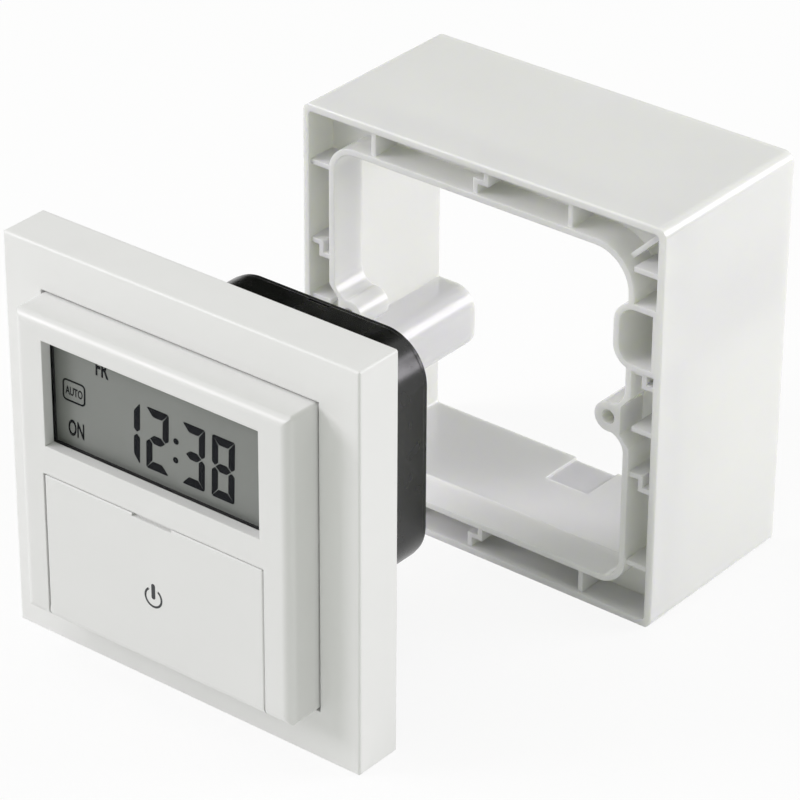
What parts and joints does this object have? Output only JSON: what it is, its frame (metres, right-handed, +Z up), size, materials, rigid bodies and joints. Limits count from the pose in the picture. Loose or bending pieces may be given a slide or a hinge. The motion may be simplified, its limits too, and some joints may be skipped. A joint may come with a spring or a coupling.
{
  "type": "in-wall timer switch",
  "caption": "In-wall digital timer switch with square cover frame, display, hinged key flap and black rear body, with its open surface-mount housing standing behind it.",
  "frame": {"origin": "centre of the mounting plate's rear face, where the axis of the wall box meets the wall plane", "axes": "+X to the right seen from the front, +Y back into the wall, +Z up"},
  "size_m": [0.0918, 0.1165, 0.082],
  "materials": {
    "white_plastic": "fine satin gloss, moulded",
    "housing_plastic": "glossy, moulded",
    "module_plastic": "matt, moulded",
    "clear_pane": "clear, glossy",
    "black_foam": "matt",
    "display_glass": "grey liquid crystal glass",
    "reflector_film": "satin film",
    "black_plastic": "satin, moulded",
    "contact_rubber": "striped",
    "key_grey": "matt",
    "manual_grey": "matt",
    "reset_dark": "matt",
    "switch_metal": "tinned sheet",
    "board_green": "solder mask",
    "chip_black": "moulded epoxy",
    "bright_steel": "zinc plated",
    "cell_steel": "nickel plated",
    "pin_brass": "plated",
    "sheet_film": "translucent film",
    "relay_blue": "moulded",
    "capacitor_yellow": "moulded",
    "can_sleeve": "shrink sleeve",
    "varistor_blue": "dipped",
    "resistor_green": "lacquered",
    "terminal_grey": "moulded"
  },
  "bodies": {
    "timer_base": {"cover_frame": "white_plastic", "bezel": "white_plastic", "display_pane": "clear_pane", "display_gasket": "black_foam", "display_front_glass": "display_glass", "display_rear_glass": "display_glass", "display_reflector": "reflector_film", "display_holder": "black_plastic", "contact_strip": "contact_rubber", "front_module": "module_plastic", "key_switches": "switch_metal", "display_board": "board_green", "board_screws": "bright_steel", "controller_chip": "chip_black", "clock_crystal": "bright_steel", "backup_cell": "cell_steel", "cell_strap": "bright_steel", "pin_socket": "black_plastic", "contact_pins": "pin_brass", "pin_header": "black_plastic", "insulating_sheet": "sheet_film", "mounting_plate": "bright_steel", "base_screws": "bright_steel", "rear_housing": "black_plastic", "rear_cover": "black_plastic", "power_board": "board_green", "relay": "relay_blue", "mains_capacitor": "capacitor_yellow", "smoothing_capacitor": "can_sleeve", "surge_varistor": "varistor_blue", "fuse_resistor": "resistor_green", "diodes": "chip_black", "terminal_block": "terminal_grey", "terminal_cages": "pin_brass", "terminal_screws": "bright_steel", "surface_housing": "housing_plastic"},
    "flap_door": {"flap": "white_plastic"},
    "clock_key": {"key_clock": "key_grey", "plunger_clock": "chip_black"},
    "day_key": {"key_day": "key_grey", "plunger_day": "chip_black"},
    "hour_key": {"key_hour": "key_grey", "plunger_hour": "chip_black"},
    "minute_key": {"key_minute": "key_grey", "plunger_minute": "chip_black"},
    "program_key": {"key_program": "key_grey", "plunger_program": "chip_black"},
    "random_key": {"key_random": "key_grey", "plunger_random": "chip_black"},
    "manual_key": {"key_manual": "manual_grey", "plunger_manual": "chip_black"},
    "reset_key": {"button_reset": "reset_dark", "plunger_reset": "chip_black"}
  },
  "joints": [
    {"name": "flap_hinge", "type": "hinge", "parent": "timer_base", "child": "flap_door", "pos_m": [0, -0.0158, -0.0282], "axis": [1, 0, 0], "range_deg": [0, 105]},
    {"name": "clock_key_press", "type": "slide", "parent": "timer_base", "child": "clock_key", "axis": [0, 1, 0], "range_m": [0, 0.0005], "stiffness_N_per_m": 1500},
    {"name": "day_key_press", "type": "slide", "parent": "timer_base", "child": "day_key", "axis": [0, 1, 0], "range_m": [0, 0.0005], "stiffness_N_per_m": 1500},
    {"name": "hour_key_press", "type": "slide", "parent": "timer_base", "child": "hour_key", "axis": [0, 1, 0], "range_m": [0, 0.0005], "stiffness_N_per_m": 1500},
    {"name": "minute_key_press", "type": "slide", "parent": "timer_base", "child": "minute_key", "axis": [0, 1, 0], "range_m": [0, 0.0005], "stiffness_N_per_m": 1500},
    {"name": "program_key_press", "type": "slide", "parent": "timer_base", "child": "program_key", "axis": [0, 1, 0], "range_m": [0, 0.0005], "stiffness_N_per_m": 1500},
    {"name": "random_key_press", "type": "slide", "parent": "timer_base", "child": "random_key", "axis": [0, 1, 0], "range_m": [0, 0.0005], "stiffness_N_per_m": 1500},
    {"name": "manual_key_press", "type": "slide", "parent": "timer_base", "child": "manual_key", "axis": [0, 1, 0], "range_m": [0, 0.0005], "stiffness_N_per_m": 1500},
    {"name": "reset_key_press", "type": "slide", "parent": "timer_base", "child": "reset_key", "axis": [0, 1, 0], "range_m": [0, 0.0005], "stiffness_N_per_m": 1500}
  ]
}
